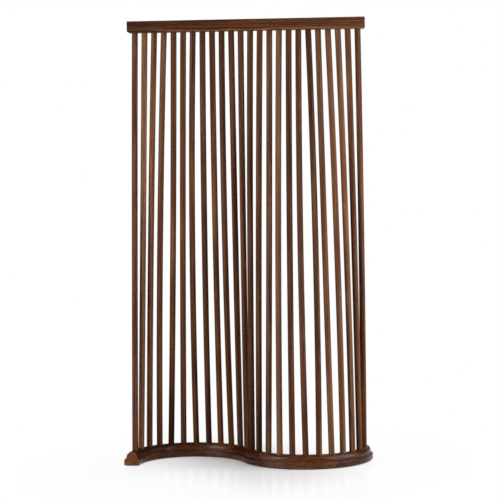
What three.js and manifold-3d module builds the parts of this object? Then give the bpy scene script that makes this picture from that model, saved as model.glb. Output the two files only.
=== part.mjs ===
// Free-standing slatted room divider in walnut. Round slats run from a straight top rail down to an
// S-shaped base, so that the row of slats turns as a ruled surface. The base is a half-round rail on a
// wider plinth, each glued up from curved lengths that meet in sloping scarf joints.
// Millimetres, +Z up. X runs along the top rail and the origin is on the floor under its middle.

import * as THREE from "three";
import { mergeVertices } from "three/addons/utils/BufferGeometryUtils.js";
import Module from "manifold-3d";

const wasm = await Module();
wasm.setup();

// ---- Driving sizes -------------------------------------------------------------------------------

const HEIGHT = 1830;

const SLAT_COUNT = 24;
const SLAT_DIAMETER = 25;
const SLAT_EASING = 1; // chamfer round each slat end
const SLAT_CLEARANCE = 0.3; // radial, between a slat and its bore
const SLAT_SIDES = 18;

const RAIL_DEPTH = 50;
const RAIL_HEIGHT = 46;
const RAIL_SLAT_PITCH = 40; // on average
const RAIL_BUNCHING = 2; // shift towards the middle of the rail, of a slat halfway to its end
const RAIL_OVERHANG = 30; // from the last slat's axis to the rail's end
const RAIL_CORNER_RADIUS = 8; // lower corner at each end
const RAIL_CORNER_SIDES = 4;
const RAIL_EASING = 1.5;
const SOCKET_DEPTH = 30; // length of slat inside the rail
const SOCKET_RELIEF = 2; // room for glue above the slat

const ARC_RADIUS = 250; // centre line of the base
const END_HEADING = 92; // degrees from the rail, at each end of the base
const MIDDLE_HEADING = 65; // degrees from the rail, where the two arcs meet
const BASE_OVERHANG = 59; // along the base, from the last slat's axis to its end
const FACET_LENGTH = 33; // along the base

const PLINTH_WIDTH = 64;
const PLINTH_HEIGHT = 25;
const PLINTH_TOP_RADIUS = 6;
const PLINTH_TOP_SIDES = 3; // of each rounded edge
const PLINTH_FOOT_EASING = 1.5;
const PLINTH_PIECES = 5;

const HALF_ROUND_WIDTH = 45;
const HALF_ROUND_SIDE = 6.5; // straight, below the round
const HALF_ROUND_SIDES = 8; // of the round
const HALF_ROUND_JOINTS = [-0.73, -0.45, -0.18, 0.18, 0.45, 0.73]; // shares of the slatted half length

const SCARF_RUN = 26; // how far a scarf joint slopes along the base
const GLUE_LINE = 0.2;

const SCREW_LENGTH = 40;
const SCREW_SHANK_DIAMETER = 5;
const SCREW_HEAD_DIAMETER = 9.6;
const SCREW_HEAD_RIM = 0.5;
const SCREW_HEAD_DEPTH = 3;
const SCREW_POINT_LENGTH = 5;
const SCREW_SINK = 1; // depth of the head's face above the underside of the plinth
const SCREW_CLEARANCE = 0.3;
const SCREW_SIDES = 10;
const DRIVE_WIDTH = 1.2; // cross recess in the head
const DRIVE_SPAN = 5;
const DRIVE_DEPTH = 1.8;
const SCREW_PLACES = [-0.9, -0.8, -0.55, -0.3, -0.1, 0.1, 0.3, 0.55, 0.8, 0.9];

const GLIDE_DIAMETER = 30;
const GLIDE_THICKNESS = 3;
const GLIDE_SIDES = 20;
const GLIDE_PLACES = [-1, -0.73, -0.37, 0, 0.37, 0.73, 1];

const FLATNESS = 0.02; // facets that lie this close to one plane become one face
const WELD_DISTANCE = 1e-4; // corners this close together are one corner

// ---- Sizes worked out from them --------------------------------------------------------------------

const slatRadius = SLAT_DIAMETER / 2;
const slattedRailLength = (SLAT_COUNT - 1) * RAIL_SLAT_PITCH;
const railLength = slattedRailLength + 2 * RAIL_OVERHANG;
const railUnderside = HEIGHT - RAIL_HEIGHT;

const middleHeading = THREE.MathUtils.degToRad(MIDDLE_HEADING);
const arcAngle = THREE.MathUtils.degToRad(END_HEADING) + middleHeading;
const baseLength = 2 * ARC_RADIUS * arcAngle;
const baseSlatPitch = (baseLength - 2 * BASE_OVERHANG) / (SLAT_COUNT - 1);

const halfRoundHeight = HALF_ROUND_WIDTH / 2 + HALF_ROUND_SIDE;
const plinthUnderside = GLIDE_THICKNESS + GLUE_LINE;
const plinthTop = plinthUnderside + PLINTH_HEIGHT;
const halfRoundUnderside = plinthTop + GLUE_LINE;
const halfRoundCrest = halfRoundUnderside + halfRoundHeight;

// ---- Materials ---------------------------------------------------------------------------------------

const walnut = (color) => new THREE.MeshStandardMaterial({ color, roughness: 0.42, metalness: 0 });
const RAIL_COLOR = 0x5a3724;
const PLINTH_COLORS = [0x50301f, 0x5c3a28, 0x472a1c];
const HALF_ROUND_COLORS = [0x5e3b29, 0x4a2a1c, 0x553222];
const SLAT_COLORS = { dark: 0x4a2c1d, middle: 0x643f2a, light: 0x825538 };
const STEEL_COLOR = 0xb9bbbd;
const FELT_COLOR = 0x2b2725;

// From left to right, as the boards they were turned from differ in tone.
const SLAT_TONES =
  "middle light light middle middle middle dark dark middle middle dark dark " +
  "dark middle middle light middle light middle light light light light middle";

// ---- Solids ------------------------------------------------------------------------------------------

// A closed three.js geometry as a solid for boolean work.
function solidOf(geometry) {
  const bare = geometry.clone();
  bare.deleteAttribute("normal");
  bare.deleteAttribute("uv");
  const merged = mergeVertices(bare, WELD_DISTANCE);
  const mesh = new wasm.Mesh({
    numProp: 3,
    vertProperties: merged.attributes.position.array,
    triVerts: new Uint32Array(merged.index.array),
  });
  return new wasm.Manifold(mesh);
}

function geometryOf(solid) {
  const { numProp, vertProperties, triVerts } = solid.asOriginal().simplify(FLATNESS).getMesh();
  const corners = new THREE.InterleavedBuffer(vertProperties, numProp);
  const geometry = new THREE.BufferGeometry();
  geometry.setAttribute("position", new THREE.InterleavedBufferAttribute(corners, 3, 0));
  geometry.setIndex(new THREE.BufferAttribute(triVerts, 1));
  const faceted = geometry.toNonIndexed();
  faceted.computeVertexNormals();
  return faceted;
}

function named(name, geometry, material) {
  const mesh = new THREE.Mesh(geometry, material);
  mesh.name = name;
  return mesh;
}

const numbered = (name, index) => name + "_" + String(index + 1).padStart(2, "0");

// ---- The S-shaped centre line -------------------------------------------------------------------------
// A place on it is its distance along the line from the middle, which is negative on the left.

const headingAt = (place) => Math.abs(place) / ARC_RADIUS - middleHeading;

function pointAt(place) {
  const side = place < 0 ? -1 : 1;
  const heading = headingAt(place);
  const x = side * ARC_RADIUS * (Math.sin(heading) + Math.sin(middleHeading));
  const y = side * ARC_RADIUS * (Math.cos(middleHeading) - Math.cos(heading));
  return new THREE.Vector3(x, y, 0);
}

class CentreLine extends THREE.Curve {
  constructor(from, to) {
    super();
    this.from = from;
    this.to = to;
  }

  getPoint(share, target = new THREE.Vector3()) {
    return target.copy(pointAt(THREE.MathUtils.lerp(this.from, this.to, share)));
  }
}

// The middle of the gap between two slats that is nearest to a share of the slatted half length.
function gapPlace(share) {
  const gapsEachSide = (SLAT_COUNT - 2) / 2;
  const gap = Math.round(gapsEachSide * (1 + share));
  return (gap - gapsEachSide) * baseSlatPitch;
}

// ---- Slats ---------------------------------------------------------------------------------------------
// A slat's axis runs from the crest of the half-round rail to the underside of the top rail.

// The slats stand a little closer together at the middle of the rail than at its ends.
function railPlace(fromMiddle) {
  const even = fromMiddle * RAIL_SLAT_PITCH;
  return even - RAIL_BUNCHING * Math.sin((2 * Math.PI * even) / slattedRailLength);
}

function slatLine(index) {
  const fromMiddle = index - (SLAT_COUNT - 1) / 2;
  const foot = pointAt(fromMiddle * baseSlatPitch).setZ(halfRoundCrest);
  const head = new THREE.Vector3(railPlace(fromMiddle), 0, railUnderside);
  const direction = head.clone().sub(foot).normalize();
  const lean = Math.acos(direction.z);
  // The lowest point of the slanting end face clears the plinth.
  const footDepth = (halfRoundHeight - slatRadius * Math.sin(lean)) / direction.z;
  const start = foot.clone().addScaledVector(direction, -footDepth);
  const length = foot.distanceTo(head) + footDepth + SOCKET_DEPTH;
  const turn = new THREE.Quaternion().setFromUnitVectors(new THREE.Vector3(0, 1, 0), direction);
  return { start, direction, length, turn };
}

const slatLines = Array.from({ length: SLAT_COUNT }, (_, index) => slatLine(index));

function slatGeometry(length) {
  const eased = slatRadius - SLAT_EASING;
  const profile = [
    new THREE.Vector2(0, 0),
    new THREE.Vector2(eased, 0),
    new THREE.Vector2(slatRadius, SLAT_EASING),
    new THREE.Vector2(slatRadius, length - SLAT_EASING),
    new THREE.Vector2(eased, length),
    new THREE.Vector2(0, length),
  ];
  return new THREE.LatheGeometry(profile, SLAT_SIDES);
}

function makeSlats() {
  const slats = new THREE.Group();
  const tones = SLAT_TONES.split(" ");
  slatLines.forEach(({ start, length, turn }, index) => {
    const color = SLAT_COLORS[tones[index % tones.length]];
    const slat = named(numbered("slat", index), slatGeometry(length), walnut(color));
    slat.position.copy(start);
    slat.quaternion.copy(turn);
    slats.add(slat);
  });
  return slats;
}

// The drill's path for one slat, from one distance along the slat to another.
function slatBore({ start, direction, turn }, from, to) {
  const radius = slatRadius + SLAT_CLEARANCE;
  const bore = new THREE.CylinderGeometry(radius, radius, to - from, SLAT_SIDES);
  bore.applyQuaternion(turn);
  const middle = start.clone().addScaledVector(direction, (from + to) / 2);
  bore.translate(middle.x, middle.y, middle.z);
  return solidOf(bore);
}

// ---- Top rail -------------------------------------------------------------------------------------------

function makeTopRail() {
  const half = railLength / 2 - RAIL_EASING;
  const low = RAIL_EASING;
  const high = RAIL_HEIGHT - RAIL_EASING;
  const corner = RAIL_CORNER_RADIUS - RAIL_EASING;
  const outline = new THREE.Shape();
  outline.moveTo(-half, high);
  outline.lineTo(-half, low + corner);
  outline.absarc(-half + corner, low + corner, corner, Math.PI, 1.5 * Math.PI, false);
  outline.absarc(half - corner, low + corner, corner, 1.5 * Math.PI, 2 * Math.PI, false);
  outline.lineTo(half, high);
  const blank = new THREE.ExtrudeGeometry(outline, {
    depth: RAIL_DEPTH - 2 * RAIL_EASING,
    bevelThickness: RAIL_EASING,
    bevelSize: RAIL_EASING,
    bevelSegments: 1,
    curveSegments: RAIL_CORNER_SIDES,
  });
  blank.translate(0, 0, RAIL_EASING - RAIL_DEPTH / 2);
  blank.rotateX(Math.PI / 2);
  const sockets = slatLines.map((line) => {
    const socketTop = line.length + SOCKET_RELIEF;
    const below = SOCKET_DEPTH + RAIL_HEIGHT / 2;
    return slatBore(line, line.length - below, socketTop).translate([0, 0, -railUnderside]);
  });
  const bored = solidOf(blank).subtract(wasm.Manifold.union(sockets));
  const rail = named("top_rail", geometryOf(bored), walnut(RAIL_COLOR));
  rail.position.z = railUnderside;
  return rail;
}

// ---- Base rails -----------------------------------------------------------------------------------------
// An outline for a rail of the base is drawn as (-height, distance to the left of the centre line).

function plinthOutline() {
  const half = PLINTH_WIDTH / 2;
  const radius = PLINTH_TOP_RADIUS;
  const shoulder = PLINTH_HEIGHT - radius;
  const outline = new THREE.Shape();
  outline.moveTo(0, half - PLINTH_FOOT_EASING);
  outline.lineTo(-PLINTH_FOOT_EASING, half);
  outline.absarc(-shoulder, half - radius, radius, Math.PI / 2, Math.PI, false);
  outline.absarc(-shoulder, radius - half, radius, Math.PI, 1.5 * Math.PI, false);
  outline.lineTo(-PLINTH_FOOT_EASING, -half);
  outline.lineTo(0, PLINTH_FOOT_EASING - half);
  return outline;
}

function halfRoundOutline() {
  const radius = HALF_ROUND_WIDTH / 2;
  const outline = new THREE.Shape();
  outline.moveTo(0, radius);
  outline.absarc(-HALF_ROUND_SIDE, 0, radius, Math.PI / 2, 1.5 * Math.PI, false);
  outline.lineTo(0, -radius);
  return outline;
}

// The outline swept along the base from one place to another, standing on Z = 0.
function sweep(outline, from, to, curveSegments) {
  const swept = new THREE.ExtrudeGeometry(outline, {
    steps: Math.ceil((to - from) / FACET_LENGTH),
    extrudePath: new CentreLine(from, to),
    curveSegments,
  });
  return solidOf(swept);
}

// Cuts a rail at a scarf joint and keeps what lies after it (side 1) or before it (side -1).
// The joint's top lies further along the base than its foot where lean is 1, and less far where it is -1.
function cutScarf(rail, place, height, lean, side) {
  const heading = headingAt(place);
  const slope = Math.hypot(height, SCARF_RUN);
  const level = height / slope;
  const rise = (-lean * SCARF_RUN) / slope;
  const normal = new THREE.Vector3(level * Math.cos(heading), level * Math.sin(heading), rise);
  const distance = pointAt(place).setZ(height / 2).dot(normal);
  return rail.trimByPlane(
    normal.multiplyScalar(side).toArray(),
    side * distance + GLUE_LINE / 2,
  );
}

// One layer of the base as its curved lengths. The joints lean to and fro from one to the next.
function makeLayer({ name, outline, curveSegments, height, joints, firstLean, level, cuts, colors }) {
  const layer = new THREE.Group();
  layer.position.z = level;
  const removed = wasm.Manifold.union(cuts).translate([0, 0, -level]);
  const ends = [-baseLength / 2, ...joints, baseLength / 2];
  for (let index = 0; index + 1 < ends.length; index += 1) {
    const isFirst = index === 0;
    const isLast = index + 2 === ends.length;
    const from = ends[index] - (isFirst ? 0 : SCARF_RUN);
    const to = ends[index + 1] + (isLast ? 0 : SCARF_RUN);
    const leanBefore = firstLean * (index % 2 ? 1 : -1);
    let piece = sweep(outline, from, to, curveSegments);
    if (!isFirst) piece = cutScarf(piece, ends[index], height, leanBefore, 1);
    if (!isLast) piece = cutScarf(piece, ends[index + 1], height, -leanBefore, -1);
    piece = piece.subtract(removed);
    const material = walnut(colors[index % colors.length]);
    layer.add(named(numbered(name, index), geometryOf(piece), material));
  }
  return layer;
}

// ---- Screws ---------------------------------------------------------------------------------------------
// They go up through the plinth into the half-round rail, between the slats.

const screwPlaces = SCREW_PLACES.map(gapPlace);
const screwStart = plinthUnderside + SCREW_SINK;

// The outline of a screw, or of its hole with a clearance, from its face to its point.
// A screw's face is at 0, and a hole's lower, to open through the underside of the plinth.
function screwProfile(clearance, face) {
  const head = SCREW_HEAD_DIAMETER / 2 + clearance;
  const shank = SCREW_SHANK_DIAMETER / 2 + clearance;
  return [
    new THREE.Vector2(0, face),
    new THREE.Vector2(head, face),
    new THREE.Vector2(head, SCREW_HEAD_RIM + clearance),
    new THREE.Vector2(shank, SCREW_HEAD_DEPTH + clearance),
    new THREE.Vector2(shank, SCREW_LENGTH - SCREW_POINT_LENGTH + clearance),
    new THREE.Vector2(0, SCREW_LENGTH + clearance),
  ];
}

function screwSolid() {
  const body = solidOf(new THREE.LatheGeometry(screwProfile(0, 0), SCREW_SIDES));
  const depth = 2 * DRIVE_DEPTH;
  const slot = solidOf(new THREE.BoxGeometry(DRIVE_SPAN, depth, DRIVE_WIDTH));
  const crossSlot = solidOf(new THREE.BoxGeometry(DRIVE_WIDTH, depth, DRIVE_SPAN));
  return body.subtract(slot.add(crossSlot));
}

function screwHole(place) {
  const profile = screwProfile(SCREW_CLEARANCE, -2 * SCREW_SINK);
  const hole = solidOf(new THREE.LatheGeometry(profile, SCREW_SIDES));
  const { x, y } = pointAt(place);
  return hole.rotate([90, 0, 0]).translate([x, y, screwStart]);
}

function makeScrews() {
  const screws = new THREE.Group();
  const geometry = geometryOf(screwSolid());
  const steel = { color: STEEL_COLOR, roughness: 0.35, metalness: 1 };
  screwPlaces.forEach((place, index) => {
    const material = new THREE.MeshStandardMaterial(steel);
    const screw = named(numbered("plinth_screw", index), geometry, material);
    screw.position.copy(pointAt(place).setZ(screwStart));
    screw.rotation.x = Math.PI / 2;
    screws.add(screw);
  });
  return screws;
}

// ---- Felt glides ------------------------------------------------------------------------------------------

function makeGlides() {
  const glides = new THREE.Group();
  const radius = GLIDE_DIAMETER / 2;
  GLIDE_PLACES.map(gapPlace).forEach((place, index) => {
    const disc = new THREE.CylinderGeometry(radius, radius, GLIDE_THICKNESS, GLIDE_SIDES);
    const felt = { color: FELT_COLOR, roughness: 0.95, metalness: 0 };
    const glide = named(numbered("glide", index), disc, new THREE.MeshStandardMaterial(felt));
    glide.position.copy(pointAt(place).setZ(GLIDE_THICKNESS / 2));
    glide.rotation.x = Math.PI / 2;
    glides.add(glide);
  });
  return glides;
}

// ---- Assembly ---------------------------------------------------------------------------------------------

const screwHoles = screwPlaces.map(screwHole);
const footBores = slatLines.map((line) => slatBore(line, -halfRoundHeight, 3 * halfRoundHeight));

const plinth = makeLayer({
  name: "plinth",
  outline: plinthOutline(),
  curveSegments: PLINTH_TOP_SIDES,
  height: PLINTH_HEIGHT,
  joints: Array.from(
    { length: PLINTH_PIECES - 1 },
    (_, index) => baseLength * ((index + 1) / PLINTH_PIECES - 0.5),
  ),
  firstLean: -1,
  level: plinthUnderside,
  cuts: screwHoles,
  colors: PLINTH_COLORS,
});

const halfRoundRail = makeLayer({
  name: "half_round",
  outline: halfRoundOutline(),
  curveSegments: HALF_ROUND_SIDES,
  height: halfRoundHeight,
  joints: HALF_ROUND_JOINTS.map(gapPlace),
  firstLean: 1,
  level: halfRoundUnderside,
  cuts: [...screwHoles, ...footBores],
  colors: HALF_ROUND_COLORS,
});

const base = new THREE.Group();
base.add(plinth, halfRoundRail, makeScrews(), makeGlides());

const roomDivider = new THREE.Group();
roomDivider.add(makeTopRail(), makeSlats(), base);

export default roomDivider;
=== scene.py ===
"""Looks of the slatted room divider: a straight walnut rail, round slats and an S-shaped base.

Metres, +Z up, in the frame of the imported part. X runs along the top rail.
"""

import math
import random

import bmesh
import bpy
from mathutils import Matrix, Vector


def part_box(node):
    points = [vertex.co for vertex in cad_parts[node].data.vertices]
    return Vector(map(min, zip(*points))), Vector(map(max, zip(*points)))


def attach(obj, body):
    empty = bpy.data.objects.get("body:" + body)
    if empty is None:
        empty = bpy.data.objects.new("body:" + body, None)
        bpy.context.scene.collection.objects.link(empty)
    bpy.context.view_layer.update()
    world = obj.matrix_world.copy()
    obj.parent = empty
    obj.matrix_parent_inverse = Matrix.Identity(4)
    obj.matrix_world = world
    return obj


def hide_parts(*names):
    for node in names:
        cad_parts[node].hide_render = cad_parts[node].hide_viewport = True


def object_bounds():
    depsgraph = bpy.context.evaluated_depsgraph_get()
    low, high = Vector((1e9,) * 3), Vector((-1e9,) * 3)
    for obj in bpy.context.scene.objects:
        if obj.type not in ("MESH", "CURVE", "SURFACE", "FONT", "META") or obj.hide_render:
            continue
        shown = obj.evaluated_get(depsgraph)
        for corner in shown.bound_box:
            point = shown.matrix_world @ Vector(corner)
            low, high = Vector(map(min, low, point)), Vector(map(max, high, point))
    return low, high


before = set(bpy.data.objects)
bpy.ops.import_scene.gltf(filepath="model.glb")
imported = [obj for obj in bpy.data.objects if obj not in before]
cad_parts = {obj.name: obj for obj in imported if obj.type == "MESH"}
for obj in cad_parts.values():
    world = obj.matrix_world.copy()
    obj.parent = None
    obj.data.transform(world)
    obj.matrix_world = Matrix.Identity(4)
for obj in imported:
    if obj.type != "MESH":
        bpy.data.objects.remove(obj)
cad_box = [list(corner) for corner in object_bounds()]

# ---- Sizes ---------------------------------------------------------------------------------------

MM = 0.001
RIGHT = Vector((1, 0, 0))
BACK = Vector((0, 1, 0))
UP = Vector((0, 0, 1))
SAME_PLACE = 1e-7  # points nearer to a cut than this lie on it

SLAT_COUNT = 24
SLAT_SIDES = 40
SLAT_STATIONS = 28
SLAT_EASING = 1.0 * MM
SOCKET_DEPTH = 30 * MM
BORE_CLEARANCE = 0.3 * MM

# Along a slat, the drill for its socket starts under the rail and ends past the slat's head. The
# drill for its bore in the base starts under the slat's foot and ends over the base.
SOCKET_START = 25 * MM
SOCKET_END = 2 * MM
BORE_START = 40 * MM
BORE_END = 120 * MM

RAIL_CORNER_RADIUS = 8 * MM
RAIL_CORNER_STEPS = 8
RAIL_EASING = 1.5 * MM
RAIL_EASING_STEPS = 3
RAIL_EASED_ANGLE = math.radians(40)

ARC_RADIUS = 250 * MM
END_HEADING = math.radians(92)
MIDDLE_HEADING = math.radians(65)
BASE_OVERHANG = 59 * MM
STATION_LENGTH = 6 * MM

# The half-round rail's joints and the screws lie in gaps between slats: -1 is the first gap and 1
# the last.
HALF_ROUND_WIDTH = 45 * MM
HALF_ROUND_STEPS = 32
HALF_ROUND_JOINTS = [-0.73, -0.45, -0.18, 0.18, 0.45, 0.73]
PLINTH_WIDTH = 64 * MM
PLINTH_TOP_RADIUS = 6 * MM
PLINTH_TOP_STEPS = 6
PLINTH_FOOT_EASING = 1.5 * MM
PLINTH_PIECES = 5
SCARF_RUN = 26 * MM
GLUE_LINE = 0.2 * MM
TIE_TO_RIGHT = 1e-9

SCREW_PLACES = [-0.9, -0.8, -0.55, -0.3, -0.1, 0.1, 0.3, 0.55, 0.8, 0.9]
SCREW_SINK = 1 * MM
SCREW_LENGTH = 40 * MM
SCREW_SHANK_RADIUS = 2.5 * MM
SCREW_HEAD_RADIUS = 4.8 * MM
SCREW_HEAD_RIM = 0.5 * MM
SCREW_HEAD_DEPTH = 3 * MM
SCREW_POINT_LENGTH = 5 * MM
SCREW_TIP_RADIUS = 0.1 * MM
SCREW_CLEARANCE = 0.3 * MM
SCREW_SIDES = 32
DRIVE_WIDTH = 1.2 * MM
DRIVE_SPAN = 5 * MM
DRIVE_DEPTH = 1.8 * MM

GLIDE_COUNT = 7
GLIDE_RADIUS = 15 * MM
GLIDE_EASING = 0.6 * MM
GLIDE_EASING_KNEE = 0.3  # the eased edge is two flats, which meet at this share of it
GLIDE_SIDES = 48
GLIDE_SHARP_ANGLE = 50

# How far each slat bows to the right at its middle, in millimetres, from left to right.
SLAT_BOWS = [
    -1.5, 0.5, -4, -7, 3, -2.5, -10, -5, -4, -7, -1.5, -2.5,
    -4, -3, 1, -4.5, -3, -6.5, 8, -0.5, 6, 5, 2.5, 3,
]

# ---- The wood of each piece, from left to right --------------------------------------------------
# Tones go from 0 (dark) to 1 (light), and warmths from 0 (cool) to 1 (warm).

SLAT_TONES = [
    0.53, 0.80, 0.63, 0.59, 0.50, 0.54, 0.46, 0.43, 0.49, 0.49, 0.40, 0.52,
    0.46, 0.52, 0.54, 0.72, 0.43, 0.50, 0.47, 0.66, 0.67, 0.73, 0.57, 0.50,
]
SLAT_WARMTH_RANGE = (0.3, 0.75)
# Painted shade at the feet of some slats: how much their tone falls there, and up to what height.
PAINTED_FOOT_SHADE = {5: 0.36, 12: 0.10, 13: 0.25, 14: 0.42}
FOOT_SHADE_HEIGHT = 0.30
FOOT_SHADE_POWER = 0.6

RAIL_TONE = 0.44
RAIL_WARMTH = 0.65
HALF_ROUND_TONES = [0.36, 0.44, 0.46, 0.26, 0.46, 0.44, 0.38]
HALF_ROUND_WARMTHS = [0.5, 0.8, 0.6, 0.7, 0.5, 0.9, 0.5]
PLINTH_TONES = [0.38, 0.44, 0.30, 0.48, 0.34]
PLINTH_WARMTHS = [0.5, 0.6, 0.5, 0.8, 0.5]

RAIL_SEED = 7
SLAT_TURN_SEED = 100
SLAT_GRAIN_SEED = 200
HALF_ROUND_SEED = 300
PLINTH_SEED = 400

# Where a piece lies in its tree: along the trunk, and from the pith both ways across it.
PITH_RANGES = [(0, 40), (0.03, 0.09), (0.02, 0.06)]
# The slope at which the growth rings of a length of the base lean over.
BASE_LEAN_RANGE = (-3, 3)

base_half = ARC_RADIUS * (END_HEADING + MIDDLE_HEADING)
slat_pitch = 2 * (base_half - BASE_OVERHANG) / (SLAT_COUNT - 1)


# ---- The S-shaped line of the base ---------------------------------------------------------------
# A place on it is its distance along the line from the middle, negative on the left.


def heading_at(place):
    """The direction of the line, as its turn from the rail."""
    return abs(place) / ARC_RADIUS - MIDDLE_HEADING


def point_at(place, z):
    side = -1 if place < 0 else 1
    heading = heading_at(place)
    x = side * ARC_RADIUS * (math.sin(heading) + math.sin(MIDDLE_HEADING))
    y = side * ARC_RADIUS * (math.cos(MIDDLE_HEADING) - math.cos(heading))
    return Vector((x, y, z))


def gap_place(share):
    """The middle of the gap between two slats that is nearest to a share, from -1 to 1.

    Of two gaps as near, it is the one on the right.
    """
    gaps = (SLAT_COUNT - 2) / 2
    return (round(gaps * (1 + share) + TIE_TO_RIGHT) - gaps) * slat_pitch


# ---- Mesh helpers --------------------------------------------------------------------------------


def mesh_object(name, bm):
    mesh = bpy.data.meshes.new(name)
    bm.normal_update()
    bm.to_mesh(mesh)
    bm.free()
    made = bpy.data.objects.new(name, mesh)
    bpy.context.scene.collection.objects.link(made)
    return made


def loft(rings):
    """A closed body through rings of equal length, its two ends closed by flat faces."""
    bm = bmesh.new()
    loops = [[bm.verts.new(point) for point in ring] for ring in rings]
    for lower, upper in zip(loops, loops[1:]):
        for index, corner in enumerate(lower):
            following = (index + 1) % len(lower)
            bm.faces.new((corner, lower[following], upper[following], upper[index]))
    bm.faces.new(reversed(loops[0]))
    bm.faces.new(loops[-1])
    bmesh.ops.recalc_face_normals(bm, faces=bm.faces)
    return bm


def revolve(profile, sides, axis_start, axis):
    """A body turned round an axis. The profile is (radius, distance along the axis)."""
    turn = UP.rotation_difference(axis)
    rings = []
    for radius, distance in profile:
        ring = []
        for index in range(sides):
            angle = math.tau * index / sides
            spoke = Vector((radius * math.cos(angle), radius * math.sin(angle), distance))
            ring.append(axis_start + turn @ spoke)
        rings.append(ring)
    return loft(rings)


def arc(centre, radius, start, turn, steps):
    """Points of an arc of an outline, from an angle and through a turn, both in radians."""
    across, up = centre
    points = []
    for step in range(steps + 1):
        angle = start + turn * step / steps
        points.append((across + radius * math.cos(angle), up + radius * math.sin(angle)))
    return points


def joined(parts):
    """Several bmesh bodies in one."""
    whole = bmesh.new()
    for part in parts:
        mesh = bpy.data.meshes.new("part")
        part.to_mesh(mesh)
        part.free()
        whole.from_mesh(mesh)
        bpy.data.meshes.remove(mesh)
    return whole


def bake_modifiers(made):
    """Turns an object's modifiers into its mesh."""
    bpy.context.view_layer.update()
    graph = bpy.context.evaluated_depsgraph_get()
    mesh = bpy.data.meshes.new_from_object(made.evaluated_get(graph))
    made.modifiers.clear()
    made.data = mesh


def cut(made, tool):
    boolean = made.modifiers.new("cut", "BOOLEAN")
    boolean.operation = "DIFFERENCE"
    boolean.solver = "EXACT"
    boolean.object = tool
    bake_modifiers(made)


def smooth(made, angle=35):
    """Shades a mesh smooth, except at edges sharper than an angle in degrees."""
    made.data.shade_smooth()
    made.data.set_sharp_from_angle(angle=math.radians(angle))


def discard(made):
    bpy.data.objects.remove(made)


def keep(made, node):
    """The finished piece takes the place of a node of the part."""
    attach(made, "root")
    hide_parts(node)


def grain(made, origin, along, across, tone, warmth, seed):
    """Writes for each vertex its place in its tree, the board's direction, a tone and a warmth.

    The tone is a number or a function of a vertex's place.
    """
    chance = random.Random(seed)
    pith = Vector([chance.uniform(*reach) for reach in PITH_RANGES])
    along = along.normalized()
    across = (across - along * across.dot(along)).normalized()
    to_board = Matrix((along, across, along.cross(across)))
    places, tones = [], []
    for vertex in made.data.vertices:
        places.extend(to_board @ (vertex.co - origin) + pith)
        tones.append(tone(vertex.co) if callable(tone) else tone)
    attributes = [
        ("board_place", "FLOAT_VECTOR", "vector", places),
        ("board_run", "FLOAT_VECTOR", "vector", list(along) * len(tones)),
        ("board_tone", "FLOAT", "value", tones),
        ("board_warmth", "FLOAT", "value", [warmth] * len(tones)),
    ]
    for name, kind, field, numbers in attributes:
        made.data.attributes.new(name, kind, "POINT").data.foreach_set(field, numbers)


# ---- Materials -----------------------------------------------------------------------------------


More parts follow.
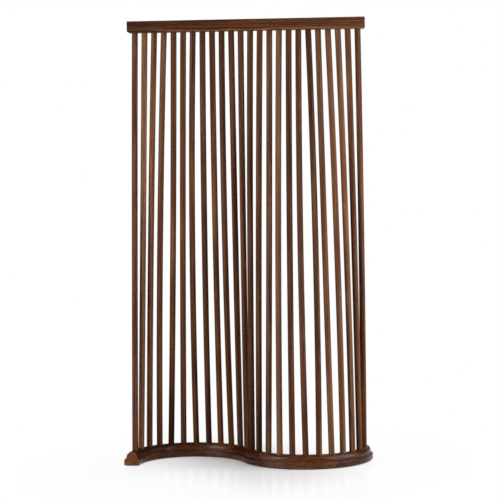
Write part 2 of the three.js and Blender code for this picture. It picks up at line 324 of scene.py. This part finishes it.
class Nodes:
    """A short way to write a node tree."""

    def __init__(self, tree):
        self.tree = tree
        tree.nodes.clear()

    def add(self, kind, *inputs, **settings):
        node = self.tree.nodes.new(kind)
        for name, value in settings.items():
            setattr(node, name, value)
        for socket, value in enumerate(inputs):
            self.feed(node.inputs[socket], value)
        return node

    def feed(self, socket, value):
        if isinstance(value, bpy.types.NodeSocket):
            self.tree.links.new(value, socket)
        else:
            socket.default_value = value

    def math(self, operation, *inputs, clamp=False):
        node = self.add("ShaderNodeMath", *inputs, operation=operation, use_clamp=clamp)
        return node.outputs[0]

    def shifted(self, value, change, amount, middle=0.5, clamp=False):
        """A value that a change moves by an amount for each unit that it lies over its middle."""
        over = self.math("SUBTRACT", change, middle)
        return self.math("MULTIPLY_ADD", over, amount, value, clamp=clamp)

    def scaled(self, vector, scale):
        node = self.add("ShaderNodeVectorMath", vector, scale, operation="MULTIPLY")
        return node.outputs[0]

    def moved(self, vector, by):
        node = self.add("ShaderNodeVectorMath", vector, by, operation="ADD")
        return node.outputs[0]

    def measured(self, operation, *vectors):
        """One number from vectors, as a length or a dot product."""
        node = self.add("ShaderNodeVectorMath", *vectors, operation=operation)
        return node.outputs["Value"]

    def noise(self, place, scale, detail=2.0, roughness=0.5, output="Fac"):
        """Noise, whose scale is a number or a tuple with one for each direction."""
        if isinstance(scale, tuple):
            place = self.scaled(place, scale)
            scale = 1.0
        node = self.add("ShaderNodeTexNoise")
        self.feed(node.inputs["Vector"], place)
        node.inputs["Scale"].default_value = scale
        node.inputs["Detail"].default_value = detail
        node.inputs["Roughness"].default_value = roughness
        return node.outputs[output]

    def attribute(self, name, output="Fac"):
        return self.add("ShaderNodeAttribute", attribute_name=name).outputs[output]

    def spread(self, value, low, high, to_low=0.0, to_high=1.0, **settings):
        node = self.add("ShaderNodeMapRange", value, low, high, to_low, to_high, **settings)
        return node.outputs[0]

    def ramp(self, value, stops):
        node = self.add("ShaderNodeValToRGB", value)
        elements = node.color_ramp.elements
        while len(elements) > 1:
            elements.remove(elements[-1])
        for index, (position, colour) in enumerate(stops):
            element = elements[0] if index == 0 else elements.new(position)
            element.position = position
            element.color = (*colour, 1)
        return node.outputs[0]

    def mixed(self, factor, first, second, blend="MIX"):
        # Its sockets for colours come after those for numbers and vectors.
        node = self.add("ShaderNodeMix", data_type="RGBA", blend_type=blend)
        self.feed(node.inputs[0], factor)
        self.feed(node.inputs[6], first)
        self.feed(node.inputs[7], second)
        return node.outputs[2]

    def bump(self, height, strength, distance):
        node = self.add("ShaderNodeBump")
        node.inputs["Strength"].default_value = strength
        node.inputs["Distance"].default_value = distance
        self.feed(node.inputs["Height"], height)
        return node.outputs[0]

    def surface(self, colour, roughness, normal):
        """The material's shader, to which the caller adds what else is particular to it."""
        shader = self.add("ShaderNodeBsdfPrincipled")
        self.feed(shader.inputs["Base Color"], colour)
        self.feed(shader.inputs["Roughness"], roughness)
        self.feed(shader.inputs["Normal"], normal)
        self.add("ShaderNodeOutputMaterial", shader.outputs[0])
        return shader


def new_material(name):
    material = bpy.data.materials.new(name)
    material.use_nodes = True
    return material, Nodes(material.node_tree)


WALNUT = [
    (0.00, (0.012, 0.0036, 0.0016)),
    (0.28, (0.040, 0.0125, 0.0050)),
    (0.50, (0.093, 0.0345, 0.0150)),
    (0.72, (0.165, 0.0720, 0.0340)),
    (1.00, (0.270, 0.1350, 0.0700)),
]
WALNUT_WARM = (1.10, 0.95, 0.66)
WALNUT_COOL = (0.93, 1.00, 1.20)

# About how often each change of the wood comes back in a metre, along the board and across it.
WANDER = (1.6, 14, 14)
UNEVEN_RINGS = (3, 60, 60)
VEINS = (2.4, 110, 110)
FIBRES = (22, 800, 800)
DRIFT = (2.2, 9, 9)
FLECKS = (60, 420, 420)
PORES = (70, 2100, 2100)
HUE_DRIFT = (2.1, 16, 16)

# How far the rings wander, in metres, as noise swings about its middle, and how much of that the
# veins do.
NOISE_CENTRING = (-0.5, -0.5, -0.5)
WANDER_REACH = (0, 0.030, 0.030)
VEIN_WANDER = (1, 0.5, 0.5)

# Rings turn by that many radians per metre from the pith, give or take their unevenness.
RING_RADIANS = 1500.0
RING_UNEVENNESS = 5.0
RING_SHARPNESS = 1.8
RING_MIDDLE = 0.35

# Where each begins to show and where it shows in full.
FLECK_EDGE = (0.54, 0.68)
PORE_EDGE = (0.60, 0.70)
END_GRAIN_EDGE = (0.75, 0.95)

# How much each moves the tone or the hue, how much fibres and pores dull the sheen, and how deep a
# pore lies beside the fibres.
FIBRE_TONE = 0.34
DRIFT_TONE = 0.35
FLECK_TONE = -0.14
PORE_TONE = -0.10
HUE_CHANGE = 2.2
FIBRE_DULLNESS = 0.25
PORE_DULLNESS = 0.18
PORE_DEPTH = -0.8


def growth_rings(nodes, place, wander):
    """Rings round the pith, which wander along the board."""
    across = nodes.scaled(nodes.moved(place, wander), (0, 1, 1))
    radius = nodes.measured("LENGTH", across)
    uneven = nodes.math("MULTIPLY", nodes.noise(place, UNEVEN_RINGS, detail=1.0), RING_UNEVENNESS)
    phase = nodes.math("MULTIPLY_ADD", radius, RING_RADIANS, uneven)
    wave = nodes.math("MULTIPLY_ADD", nodes.math("SINE", phase), 0.5, 0.5)
    return nodes.math("POWER", wave, RING_SHARPNESS)


def end_grain(nodes):
    """1 on a face that is cut square across the board, and 0 on one along it."""
    facing = nodes.add("ShaderNodeNewGeometry").outputs["True Normal"]
    square = nodes.measured("DOT_PRODUCT", facing, nodes.attribute("board_run", "Vector"))
    return nodes.spread(nodes.math("ABSOLUTE", square), *END_GRAIN_EDGE)


def walnut(name, figure, streak, gloss, shine, stain=None, painted_light_on_ends=0.0, painted_light_to_right=0.0):
    """Satin walnut, with or without a stain that tints it.

    The figure is how strongly the growth rings show, and the streak how strongly the veins do. The
    last two paint light: end faces are painted paler by the one, and the wood is painted paler to
    the right by the other, per metre.
    """
    material, nodes = new_material(name)
    place = nodes.attribute("board_place", "Vector")
    tone = nodes.attribute("board_tone")
    warmth = nodes.attribute("board_warmth")

    # Growth rings, dark veins, fibres, slow change of tone, and flecks and pores as fine dashes.
    wander = nodes.moved(nodes.noise(place, WANDER, output="Color"), NOISE_CENTRING)
    wander = nodes.scaled(wander, WANDER_REACH)
    ring = growth_rings(nodes, place, wander)
    veined = nodes.moved(place, nodes.scaled(wander, VEIN_WANDER))
    vein = nodes.noise(veined, VEINS, detail=4.0, roughness=0.6)
    fibre = nodes.noise(place, FIBRES, detail=3.0, roughness=0.6)
    drift = nodes.noise(place, DRIFT)
    fleck = nodes.spread(nodes.noise(place, FLECKS, roughness=0.6), *FLECK_EDGE)
    pore = nodes.spread(nodes.noise(place, PORES, detail=1.0), *PORE_EDGE)

    value = nodes.shifted(tone, vein, streak)
    value = nodes.shifted(value, ring, figure, middle=RING_MIDDLE)
    value = nodes.shifted(value, fibre, FIBRE_TONE)
    value = nodes.shifted(value, drift, DRIFT_TONE)
    value = nodes.math("MULTIPLY_ADD", fleck, FLECK_TONE, value)
    value = nodes.math("MULTIPLY_ADD", pore, PORE_TONE, value)
    # Painted light, which makes end faces paler.
    value = nodes.math("MULTIPLY_ADD", end_grain(nodes), painted_light_on_ends, value)
    # Painted light, which makes the wood paler towards the right.
    if painted_light_to_right:
        spot = nodes.add("ShaderNodeTexCoord").outputs["Object"]
        spot = nodes.add("ShaderNodeSeparateXYZ", spot)
        value = nodes.math("MULTIPLY_ADD", spot.outputs["X"], painted_light_to_right, value)

    hue = nodes.shifted(warmth, nodes.noise(place, HUE_DRIFT), HUE_CHANGE, clamp=True)
    tint = nodes.mixed(hue, (*WALNUT_COOL, 1), (*WALNUT_WARM, 1))
    colour = nodes.mixed(1.0, nodes.ramp(value, WALNUT), tint, "MULTIPLY")
    if stain:
        colour = nodes.mixed(1.0, colour, (*stain, 1), "MULTIPLY")

    roughness = nodes.shifted(gloss, fibre, FIBRE_DULLNESS)
    roughness = nodes.math("MULTIPLY_ADD", pore, PORE_DULLNESS, roughness)
    height = nodes.math("MULTIPLY_ADD", pore, PORE_DEPTH, fibre)
    shader = nodes.surface(colour, roughness, nodes.bump(height, strength=0.35, distance=0.15 * MM))
    shader.inputs["Specular IOR Level"].default_value = shine
    return material


STEEL = [(0.3, (0.42, 0.42, 0.43)), (0.7, (0.62, 0.62, 0.61))]
STEEL_CLOUDS = 900.0
STEEL_ROUGHNESS = (0.28, 0.45)
FELT = [(0.35, (0.016, 0.013, 0.012)), (0.65, (0.055, 0.048, 0.043))]
FELT_FUZZ = 2600.0
FELT_CLUMPS = 420.0
FELT_ROUGHNESS = (0.85, 1.0)
NOISE_RANGE = (0.3, 0.7)


def steel():
    material, nodes = new_material("zinc_steel")
    place = nodes.add("ShaderNodeTexCoord").outputs["Object"]
    cloud = nodes.noise(place, STEEL_CLOUDS, detail=4.0, roughness=0.6)
    colour = nodes.ramp(cloud, STEEL)
    roughness = nodes.spread(cloud, *NOISE_RANGE, *STEEL_ROUGHNESS)
    shader = nodes.surface(colour, roughness, nodes.bump(cloud, strength=0.3, distance=0.05 * MM))
    shader.inputs["Metallic"].default_value = 1.0
    return material


def felt():
    material, nodes = new_material("dark_felt")
    place = nodes.add("ShaderNodeTexCoord").outputs["Object"]
    fuzz = nodes.noise(place, FELT_FUZZ, detail=5.0, roughness=0.7)
    clump = nodes.noise(place, FELT_CLUMPS, detail=3.0, roughness=0.6)
    value = nodes.math("MULTIPLY_ADD", clump, 0.5, nodes.math("MULTIPLY", fuzz, 0.5))
    colour = nodes.ramp(value, FELT)
    roughness = nodes.spread(fuzz, *NOISE_RANGE, *FELT_ROUGHNESS)
    shader = nodes.surface(colour, roughness, nodes.bump(fuzz, strength=0.8, distance=0.3 * MM))
    shader.inputs["Sheen Weight"].default_value = 0.4
    return material


slat_walnut = walnut("slat_walnut", figure=0.16, streak=1.00, gloss=0.46, shine=0.08)
rail_walnut = walnut(
    "rail_walnut",
    figure=0.34,
    streak=1.00,
    gloss=0.50,
    shine=0.08,
    painted_light_on_ends=0.05,
    painted_light_to_right=0.42,
)
base_walnut = walnut(
    "base_walnut",
    figure=0.24,
    streak=0.90,
    gloss=0.28,
    shine=0.19,
    stain=(1.03, 0.92, 0.85),
    painted_light_on_ends=0.38,
)
zinc_steel = steel()
dark_felt = felt()


# ---- Slats ---------------------------------------------------------------------------------------


def slat_axis(node):
    """The lower end, direction, length and radius of a slat, from its solid."""
    points = [vertex.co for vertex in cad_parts[node].data.vertices]
    middle = (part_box(node)[0].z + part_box(node)[1].z) / 2
    low = [point for point in points if point.z < middle]
    high = [point for point in points if point.z >= middle]
    low_centre = sum(low, Vector()) / len(low)
    high_centre = sum(high, Vector()) / len(high)
    direction = (high_centre - low_centre).normalized()
    reach = [(point - low_centre).dot(direction) for point in points]
    start = low_centre + direction * min(reach)
    length = max(reach) - min(reach)
    radius = max((point - start).cross(direction).length for point in points)
    return start, direction, length, radius


slat_axes = [slat_axis("slat_%02d" % (index + 1)) for index in range(SLAT_COUNT)]


def turned_to(sideways, backwards, angle):
    return sideways * math.cos(angle) + backwards * math.sin(angle)


def slat_rings(index, sideways, backwards):
    """Rings of a slat that bows between the base and the rail, and is straight inside them."""
    start, direction, length, radius = slat_axes[index]
    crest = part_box("half_round_01")[1].z
    hidden_foot = (crest - start.z) / direction.z
    clear = length - hidden_foot - SOCKET_DEPTH
    eased = radius - SLAT_EASING
    stations = [(eased, 0.0), (radius, SLAT_EASING), (radius, hidden_foot)]
    for step in range(1, SLAT_STATIONS):
        stations.append((radius, hidden_foot + clear * step / SLAT_STATIONS))
    stations += [(radius, length - SOCKET_DEPTH), (radius, length - SLAT_EASING), (eased, length)]
    angles = [math.tau * side / SLAT_SIDES for side in range(SLAT_SIDES)]
    rings = []
    for size, distance in stations:
        share = min(max((distance - hidden_foot) / clear, 0), 1)
        bow = SLAT_BOWS[index] * MM * 4 * share * (1 - share)
        centre = start + direction * distance + sideways * bow
        rings.append([centre + turned_to(sideways, backwards, angle) * size for angle in angles])
    return rings


def make_slat(index):
    node = "slat_%02d" % (index + 1)
    start, direction, _, _ = slat_axes[index]
    sideways = (RIGHT - direction * direction.x).normalized()
    backwards = direction.cross(sideways)
    slat = mesh_object("round_" + node, loft(slat_rings(index, sideways, backwards)))
    smooth(slat)

    chance = random.Random(SLAT_TURN_SEED + index)
    across = turned_to(sideways, backwards, chance.uniform(0, math.tau))
    warmth = chance.uniform(*SLAT_WARMTH_RANGE)
    # Painted shade, which darkens the tone towards the slat's foot.
    foot_shade = PAINTED_FOOT_SHADE.get(index + 1, 0)

    def tone(point):
        nearness = max(0, 1 - point.z / FOOT_SHADE_HEIGHT)
        return SLAT_TONES[index] - foot_shade * nearness ** FOOT_SHADE_POWER

    grain(slat, start, direction, across, tone, warmth, SLAT_GRAIN_SEED + index)
    slat.data.materials.append(slat_walnut)
    keep(slat, node)


for slat_index in range(SLAT_COUNT):
    make_slat(slat_index)


# ---- Drilled holes -------------------------------------------------------------------------------


def slat_holes(from_start, to_start):
    """The bores for all slats, from one distance along each slat to another."""
    bores = []
    for start, direction, length, radius in slat_axes:
        wide = radius + BORE_CLEARANCE
        profile = [(wide, from_start(length)), (wide, to_start(length))]
        bores.append(revolve(profile, SLAT_SIDES, start, direction))
    return mesh_object("bores", joined(bores))


screw_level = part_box("plinth_01")[0].z + SCREW_SINK


def screw_profile(clearance, face):
    head = SCREW_HEAD_RADIUS + clearance
    shank = SCREW_SHANK_RADIUS + clearance
    return [
        (head, face),
        (head, SCREW_HEAD_RIM + clearance),
        (shank, SCREW_HEAD_DEPTH + clearance),
        (shank, SCREW_LENGTH - SCREW_POINT_LENGTH + clearance),
        (SCREW_TIP_RADIUS, SCREW_LENGTH + clearance),
    ]


def screw_holes():
    """The holes for all screws, which start a little below the plinth."""
    profile = screw_profile(SCREW_CLEARANCE, -2 * SCREW_SINK)
    feet = [point_at(gap_place(share), screw_level) for share in SCREW_PLACES]
    return mesh_object("holes", joined([revolve(profile, SCREW_SIDES, foot, UP) for foot in feet]))


# ---- Top rail ------------------------------------------------------------------------------------


def make_top_rail():
    """A board with rounded lower corners at its ends, eased edges and a socket for each slat."""
    low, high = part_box("top_rail")
    corner = RAIL_CORNER_RADIUS
    quarter = 0.5 * math.pi
    outline = [(low.x, high.z)]
    outline += arc((low.x + corner, low.z + corner), corner, math.pi, quarter, RAIL_CORNER_STEPS)
    outline += arc(
        (high.x - corner, low.z + corner), corner, 1.5 * math.pi, quarter, RAIL_CORNER_STEPS
    )
    outline.append((high.x, high.z))
    rings = [[Vector((x, y, z)) for x, z in outline] for y in (low.y, high.y)]
    rail = mesh_object("walnut_top_rail", loft(rings))
    bevel = rail.modifiers.new("ease", "BEVEL")
    bevel.width = RAIL_EASING
    bevel.segments = RAIL_EASING_STEPS
    bevel.limit_method = "ANGLE"
    bevel.angle_limit = RAIL_EASED_ANGLE
    bake_modifiers(rail)
    sockets = slat_holes(
        lambda length: length - SOCKET_DEPTH - SOCKET_START, lambda length: length + SOCKET_END
    )
    cut(rail, sockets)
    discard(sockets)
    smooth(rail)
    grain(rail, Vector((0, 0, high.z)), RIGHT, BACK, RAIL_TONE, RAIL_WARMTH, RAIL_SEED)
    rail.data.materials.append(rail_walnut)
    keep(rail, "top_rail")


make_top_rail()


# ---- Base ----------------------------------------------------------------------------------------
# Outlines are (distance to the left of the line, height above the layer's underside).


def plinth_outline(height):
    half = PLINTH_WIDTH / 2
    radius = PLINTH_TOP_RADIUS
    outline = [(half - PLINTH_FOOT_EASING, 0), (half, PLINTH_FOOT_EASING)]
    outline += arc((half - radius, height - radius), radius, 0, 0.5 * math.pi, PLINTH_TOP_STEPS)
    return outline + [(-across, up) for across, up in reversed(outline)]


def half_round_outline(height):
    radius = HALF_ROUND_WIDTH / 2
    crown = arc((0, height - radius), radius, 0, math.pi, HALF_ROUND_STEPS)
    return [(radius, 0), *crown, (-radius, 0)]


def within_box(point):
    """Holds a point of the smooth arc inside the box of the whole object."""
    return Vector(min(max(part, low), high) for part, low, high in zip(point, *cad_box))


def sweep(outline, start, end, level):
    """A body whose outline follows the line of the base from one place to another."""
    steps = math.ceil((end - start) / STATION_LENGTH)
    rings = []
    for step in range(steps + 1):
        place = start + (end - start) * step / steps
        heading = heading_at(place)
        left = Vector((-math.sin(heading), math.cos(heading), 0))
        centre = point_at(place, level)
        ring = [centre + left * across + Vector((0, 0, up)) for across, up in outline]
        rings.append([within_box(point) for point in ring])
    return loft(rings)


def cut_scarf(bm, place, level, height, lean, side):
    """Cuts at a sloping glue joint and keeps what lies after it (side 1) or before it (side -1)."""
    heading = heading_at(place)
    slope = math.hypot(height, SCARF_RUN)
    rise = -lean * SCARF_RUN / slope
    normal = Vector((height / slope * math.cos(heading), height / slope * math.sin(heading), rise))
    middle = point_at(place, level + height / 2) + normal * (side * GLUE_LINE / 2)
    found = bmesh.ops.bisect_plane(
        bm,
        geom=bm.verts[:] + bm.edges[:] + bm.faces[:],
        plane_co=middle,
        plane_no=normal * side,
        clear_inner=True,
        dist=SAME_PLACE,
    )
    edges = [item for item in found["geom_cut"] if isinstance(item, bmesh.types.BMEdge)]
    bmesh.ops.edgeloop_fill(bm, edges=edges)
    bmesh.ops.recalc_face_normals(bm, faces=bm.faces)


def make_layer(name, outline, joints, first_lean, cuts, tones, warmths, seed):
    """One tier of the base, as lengths that meet at joints whose slopes lean to and fro."""
    low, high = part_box(name + "_01")
    level, height = low.z, high.z - low.z
    ends = [-base_half, *joints, base_half]
    for index in range(len(ends) - 1):
        node = "%s_%02d" % (name, index + 1)
        left_end, right_end = ends[index], ends[index + 1]
        is_first = index == 0
        is_last = index + 2 == len(ends)
        start = left_end - (0 if is_first else SCARF_RUN)
        end = right_end + (0 if is_last else SCARF_RUN)
        left_lean = first_lean * (1 if index % 2 else -1)
        bm = sweep(outline(height), start, end, level)
        if not is_first:
            cut_scarf(bm, left_end, level, height, left_lean, 1)
        if not is_last:
            cut_scarf(bm, right_end, level, height, -left_lean, -1)
        piece = mesh_object("walnut_" + node, bm)
        for tool in cuts:
            cut(piece, tool)
        smooth(piece)
        first, last = point_at(left_end, level), point_at(right_end, level)
        along = last - first
        chance = random.Random(seed + index)
        across = UP + along.cross(UP) * chance.uniform(*BASE_LEAN_RANGE)
        middle = (first + last) / 2
        grain(piece, middle, along, across, tones[index], warmths[index], seed + index)
        piece.data.materials.append(base_walnut)
        keep(piece, node)


bores = slat_holes(lambda length: -BORE_START, lambda length: BORE_END)
holes = screw_holes()

make_layer(
    "half_round",
    half_round_outline,
    joints=[gap_place(share) for share in HALF_ROUND_JOINTS],
    first_lean=1,
    cuts=[bores, holes],
    tones=HALF_ROUND_TONES,
    warmths=HALF_ROUND_WARMTHS,
    seed=HALF_ROUND_SEED,
)
make_layer(
    "plinth",
    plinth_outline,
    joints=[2 * base_half * (joint / PLINTH_PIECES - 0.5) for joint in range(1, PLINTH_PIECES)],
    first_lean=-1,
    cuts=[holes],
    tones=PLINTH_TONES,
    warmths=PLINTH_WARMTHS,
    seed=PLINTH_SEED,
)
discard(bores)
discard(holes)


# ---- Screws and glides ---------------------------------------------------------------------------


def box_body(centre, size):
    bm = bmesh.new()
    shape = Matrix.Translation(centre) @ Matrix.Diagonal((*size, 1))
    bmesh.ops.create_cube(bm, size=1, matrix=shape)
    return bm


def make_screw(index):
    """A countersunk screw with a cross slot in its head, which faces the floor."""
    node = "plinth_screw_%02d" % (index + 1)
    foot = point_at(gap_place(SCREW_PLACES[index]), screw_level)
    body = revolve(screw_profile(0, 0), SCREW_SIDES, foot, UP)
    screw = mesh_object("steel_" + node, body)
    for span, width in ((DRIVE_SPAN, DRIVE_WIDTH), (DRIVE_WIDTH, DRIVE_SPAN)):
        slot = mesh_object("slot", box_body(foot, (span, width, 2 * DRIVE_DEPTH)))
        cut(screw, slot)
        discard(slot)
    smooth(screw)
    screw.data.materials.append(zinc_steel)
    keep(screw, node)


def make_glide(index):
    """A felt disc with an eased lower edge."""
    node = "glide_%02d" % (index + 1)
    low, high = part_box(node)
    centre = (low + high) / 2
    thickness = high.z - low.z
    knee = GLIDE_EASING_KNEE * GLIDE_EASING
    profile = [
        (GLIDE_RADIUS - GLIDE_EASING, 0),
        (GLIDE_RADIUS - knee, knee),
        (GLIDE_RADIUS, GLIDE_EASING),
        (GLIDE_RADIUS, thickness),
    ]
    foot = Vector((centre.x, centre.y, low.z))
    glide = mesh_object("felt_" + node, revolve(profile, GLIDE_SIDES, foot, UP))
    smooth(glide, GLIDE_SHARP_ANGLE)
    glide.data.materials.append(dark_felt)
    keep(glide, node)


for screw_index in range(len(SCREW_PLACES)):
    make_screw(screw_index)
for glide_index in range(GLIDE_COUNT):
    make_glide(glide_index)


# ---- Floor, light and camera ---------------------------------------------------------------------

FLOOR_HALF = 12.0
FLOOR_COLOUR = (0.90, 0.90, 0.90, 1)
FLOOR_ROUGHNESS = 0.22
FLOOR_SHINE = 0.12
FLOOR_LIFT = 0.20

# The shaded part of the floor follows the S: radians per metre along the rail, and its swing. It is
# shorter along the rail than across it, and fades to white from one distance to another.
POOL_WAVE = (6.2, 0.13)
POOL_SQUASH = 1.15
POOL_EDGE = (0.12, 0.68)

# How far off the base still darkens the floor, and how open the floor is where it is darkest and
# where it counts as clear.
CONTACT_REACH = 0.05
CONTACT_EDGE = (0.05, 0.60)

# How much the floor mirrors near the divider, and the distances over which that fades out.
FLOOR_MIRROR = 0.07
FLOOR_MIRROR_EDGE = (0.4, 1.1)
FLOOR_MIRROR_ROUGHNESS = 0.12


def floor_seen(nodes):
    """1 where the floor is seen by the camera, in a mirror or through glass, and 0 in its light.

    Close under the base it is 0 too, so that the floor stays dark there.
    """
    path = nodes.add("ShaderNodeLightPath")
    seen = nodes.math("ADD", path.outputs["Is Camera Ray"], path.outputs["Is Glossy Ray"])
    seen = nodes.math("ADD", seen, path.outputs["Is Transmission Ray"], clamp=True)
    nearby = nodes.add("ShaderNodeAmbientOcclusion", samples=8)
    nearby.inputs["Distance"].default_value = CONTACT_REACH
    return nodes.math("MULTIPLY", seen, nodes.spread(nearby.outputs["AO"], *CONTACT_EDGE))


def floor_distance(nodes):
    """How far a point of the floor lies from the middle of the shaded part."""
    place = nodes.add("ShaderNodeNewGeometry").outputs["Position"]
    place = nodes.add("ShaderNodeSeparateXYZ", place)
    swing = nodes.math("SINE", nodes.math("MULTIPLY", place.outputs["X"], POOL_WAVE[0]))
    before = nodes.math("MULTIPLY_ADD", swing, POOL_WAVE[1], place.outputs["Y"])
    beside = nodes.math("MULTIPLY", place.outputs["X"], POOL_SQUASH)
    place = nodes.add("ShaderNodeCombineXYZ", beside, before)
    return nodes.measured("LENGTH", place.outputs[0])


def make_floor():
    """A pale floor that keeps the divider's shade and fades to white round it."""
    bm = bmesh.new()
    bmesh.ops.create_grid(bm, x_segments=1, y_segments=1, size=FLOOR_HALF)
    floor = mesh_object("floor", bm)
    material, nodes = new_material("pale_floor")
    seen = floor_seen(nodes)
    distance = floor_distance(nodes)
    plain = nodes.add("ShaderNodeBsdfPrincipled")
    plain.inputs["Base Color"].default_value = FLOOR_COLOUR
    plain.inputs["Roughness"].default_value = FLOOR_ROUGHNESS
    plain.inputs["Specular IOR Level"].default_value = FLOOR_SHINE
    lift = nodes.add("ShaderNodeEmission")
    nodes.feed(lift.inputs["Strength"], nodes.math("MULTIPLY", seen, FLOOR_LIFT))
    lit = nodes.add("ShaderNodeAddShader", plain.outputs[0], lift.outputs[0])
    white = nodes.add("ShaderNodeEmission")
    white.inputs["Strength"].default_value = 1.0
    white_share = nodes.spread(distance, *POOL_EDGE, interpolation_type="SMOOTHSTEP")
    white_share = nodes.math("MULTIPLY", white_share, seen)
    mixed = nodes.add("ShaderNodeMixShader", white_share, lit.outputs[0], white.outputs[0])
    # The slats show faintly in the floor in front of the base.
    mirror = nodes.add("ShaderNodeBsdfAnisotropic")
    mirror.inputs["Color"].default_value = (1, 1, 1, 1)
    mirror.inputs["Roughness"].default_value = FLOOR_MIRROR_ROUGHNESS
    mirror_share = nodes.spread(distance, *FLOOR_MIRROR_EDGE, FLOOR_MIRROR, 0.0)
    mixed = nodes.add("ShaderNodeMixShader", mirror_share, mixed.outputs[0], mirror.outputs[0])
    nodes.add("ShaderNodeOutputMaterial", mixed.outputs[0])
    floor.data.materials.append(material)


WORLD_LEVEL = 0.12

# Mirrored, the studio is bright straight behind the divider and dim elsewhere: the edge of the
# bright part, as the share of a direction that points back, and the levels outside and in it.
BRIGHT_EDGE = (0.92, 0.99)
MIRRORED_LEVELS = (0.06, 0.6)


def make_world():
    """Even light all round, of which the camera sees only white."""
    world = bpy.data.worlds.new("studio")
    bpy.context.scene.world = world
    world.use_nodes = True
    nodes = Nodes(world.node_tree)
    path = nodes.add("ShaderNodeLightPath")
    direction = nodes.add("ShaderNodeTexCoord").outputs["Generated"]
    split = nodes.add("ShaderNodeSeparateXYZ", direction)
    behind = nodes.spread(split.outputs["Y"], *BRIGHT_EDGE, *MIRRORED_LEVELS)
    glossy = path.outputs["Is Glossy Ray"]
    mirrored = nodes.math("ADD", glossy, path.outputs["Is Transmission Ray"], clamp=True)
    extra = nodes.math("SUBTRACT", behind, WORLD_LEVEL)
    strength = nodes.math("MULTIPLY_ADD", mirrored, extra, WORLD_LEVEL)
    to_white = nodes.math("SUBTRACT", 1.0, strength)
    strength = nodes.math("MULTIPLY_ADD", path.outputs["Is Camera Ray"], to_white, strength)
    background = nodes.add("ShaderNodeBackground")
    background.inputs["Color"].default_value = (1, 1, 1, 1)
    nodes.feed(background.inputs["Strength"], strength)
    nodes.add("ShaderNodeOutputWorld", background.outputs[0])


DIVIDER_MIDDLE = 0.9


def softbox(name, bearing, distance, level, width, height, power):
    """A lamp that faces the divider. Its bearing is in degrees from the front, to the right."""
    turn = math.radians(bearing)
    place = Vector((distance * math.sin(turn), -distance * math.cos(turn), level))
    light = bpy.data.lights.new(name, "AREA")
    light.shape = "RECTANGLE"
    light.size = width
    light.size_y = height
    light.energy = power
    made = bpy.data.objects.new(name, light)
    bpy.context.scene.collection.objects.link(made)
    made.location = place
    aim = Vector((0, 0, DIVIDER_MIDDLE)) - place
    made.rotation_euler = aim.to_track_quat("-Z", "Y").to_euler()


make_floor()
make_world()
softbox("left_softbox", bearing=-48, distance=3.0, level=1.5, width=1.6, height=2.2, power=75)
softbox("right_softbox", bearing=60, distance=3.0, level=1.5, width=1.2, height=2.2, power=40)
softbox("side_softbox", bearing=88, distance=3.0, level=1.6, width=1.6, height=2.4, power=66)
softbox("back_softbox", bearing=170, distance=3.2, level=2.2, width=2.0, height=2.0, power=30)

# The camera's turns in radians: to the left, downwards and round the way it looks.
CAMERA_PLACE = Vector((0.6572, -6.4655, 1.1476))
CAMERA_TURN = 0.0998
CAMERA_DIP = 0.0409
CAMERA_ROLL = -0.0103
LENS = 113.26
SENSOR_WIDTH = 36


def make_camera():
    data = bpy.data.cameras.new("camera")
    data.sensor_width = SENSOR_WIDTH
    data.lens = LENS
    camera = bpy.data.objects.new("camera", data)
    bpy.context.scene.collection.objects.link(camera)
    level_right = Vector((math.cos(CAMERA_TURN), math.sin(CAMERA_TURN), 0))
    level_ahead = Vector((-math.sin(CAMERA_TURN), math.cos(CAMERA_TURN), 0))
    ahead = level_ahead * math.cos(CAMERA_DIP) - UP * math.sin(CAMERA_DIP)
    above = level_right.cross(ahead)
    right = level_right * math.cos(CAMERA_ROLL) + above * math.sin(CAMERA_ROLL)
    above = right.cross(ahead)
    axes = Matrix((right, above, -ahead)).transposed().to_4x4()
    camera.matrix_world = Matrix.Translation(CAMERA_PLACE) @ axes
    bpy.context.scene.camera = camera


make_camera()
bpy.context.scene.view_settings.view_transform = "Standard"
